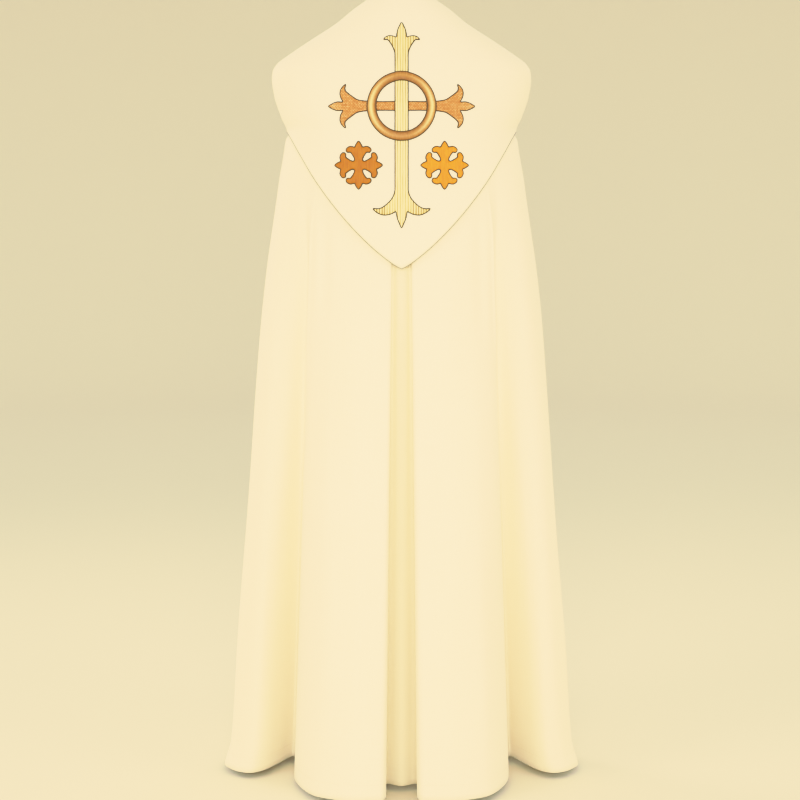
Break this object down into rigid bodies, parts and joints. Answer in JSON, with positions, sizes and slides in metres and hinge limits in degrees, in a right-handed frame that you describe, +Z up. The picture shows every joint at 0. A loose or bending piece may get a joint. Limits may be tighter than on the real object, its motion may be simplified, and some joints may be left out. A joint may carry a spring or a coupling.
{
  "type": "cope vestment",
  "caption": "Floor-length church cope hanging as worn with nobody in it: smooth cream cloth, centre box pleat, deep side folds, pointed shoulder hood and plain chest strap.",
  "frame": {"origin": "middle of the neck opening at the height of the back neck, where the wearer's neck and shoulders hold the garment", "axes": "+Z up along the wearer's neck, +Y out of the open front, -Y out of the back with the hood, +X to the right as seen from behind"},
  "size_m": [0.6778, 0.4198, 1.4328],
  "materials": {
    "cream_cloth": "smooth plain-woven cream cloth with a soft low sheen",
    "hood_cloth": "the same cream cloth, interlined and smooth, with gold and copper thread embroidery"
  },
  "bodies": {
    "root": {"back_left": "cream_cloth", "back_right": "cream_cloth", "pleat_underlay": "cream_cloth", "front_left": "cream_cloth", "front_right": "cream_cloth", "hood": "hood_cloth", "morse": "hood_cloth"}
  },
  "joints": []
}
